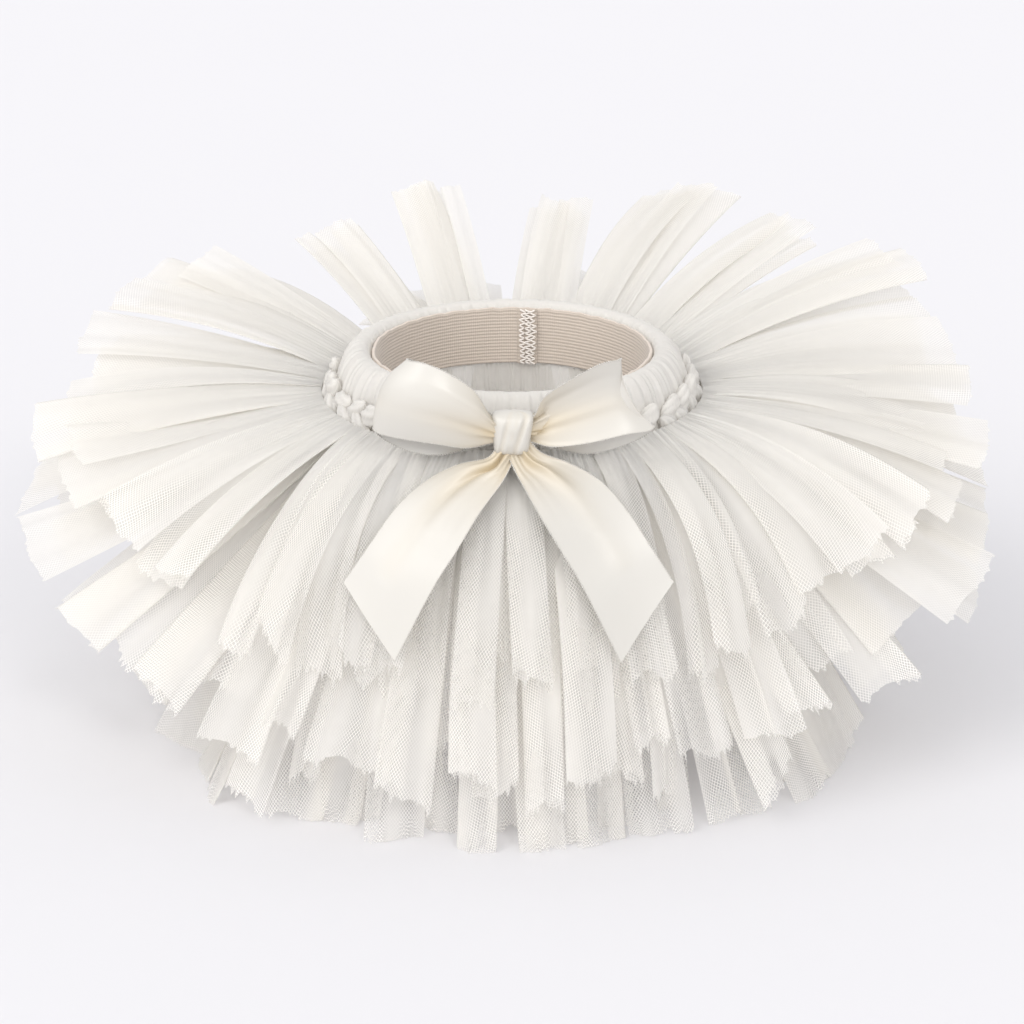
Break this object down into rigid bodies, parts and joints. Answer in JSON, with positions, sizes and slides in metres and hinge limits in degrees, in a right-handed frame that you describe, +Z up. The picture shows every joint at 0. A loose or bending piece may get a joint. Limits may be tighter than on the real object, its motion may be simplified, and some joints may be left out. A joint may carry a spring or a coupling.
{
  "type": "ballet tutu",
  "caption": "Toddler's ballet tutu: a full skirt of layered tulle strips knotted round a gathered elastic waistband, with a satin ribbon bow at the front.",
  "frame": {"origin": "on the floor, at the middle of the garment's footprint", "axes": "+X to the right of somebody who looks at the bow, -Y out of the front, +Z up through the waist"},
  "size_m": [0.4494, 0.3672, 0.2274],
  "materials": {
    "tulle": "warm white net, soft and matt",
    "elastic": "ribbed knitted elastic, matt",
    "satin_ribbon": "ivory satin, soft sheen"
  },
  "bodies": {
    "root": {"bow_knot": "satin_ribbon", "bow_loop_left": "satin_ribbon", "bow_loop_right": "satin_ribbon", "bow_tail_left": "satin_ribbon", "bow_tail_right": "satin_ribbon", "elastic_lapped_seam": "elastic", "elastic_waistband": "elastic", "tulle_gathered_roll": "tulle", "tulle_knots": "tulle", "tulle_lower_01": "tulle", "tulle_lower_02": "tulle", "tulle_lower_03": "tulle", "tulle_lower_04": "tulle", "tulle_lower_05": "tulle", "tulle_lower_06": "tulle", "tulle_lower_07": "tulle", "tulle_lower_08": "tulle", "tulle_lower_09": "tulle", "tulle_lower_10": "tulle", "tulle_lower_11": "tulle", "tulle_lower_12": "tulle", "tulle_lower_13": "tulle", "tulle_lower_14": "tulle", "tulle_middle_01": "tulle", "tulle_middle_02": "tulle", "tulle_middle_03": "tulle", "tulle_middle_04": "tulle", "tulle_middle_05": "tulle", "tulle_middle_06": "tulle", "tulle_middle_07": "tulle", "tulle_middle_08": "tulle", "tulle_middle_09": "tulle", "tulle_middle_10": "tulle", "tulle_middle_11": "tulle", "tulle_middle_12": "tulle", "tulle_middle_13": "tulle", "tulle_middle_14": "tulle", "tulle_middle_15": "tulle", "tulle_middle_16": "tulle", "tulle_top_01": "tulle", "tulle_top_02": "tulle", "tulle_top_03": "tulle", "tulle_top_04": "tulle", "tulle_top_05": "tulle", "tulle_top_06": "tulle", "tulle_top_07": "tulle", "tulle_top_08": "tulle", "tulle_top_09": "tulle", "tulle_top_10": "tulle", "tulle_top_11": "tulle", "tulle_top_12": "tulle", "tulle_top_13": "tulle", "tulle_top_14": "tulle", "tulle_top_15": "tulle", "tulle_top_16": "tulle", "tulle_top_17": "tulle", "tulle_top_18": "tulle"}
  },
  "joints": []
}
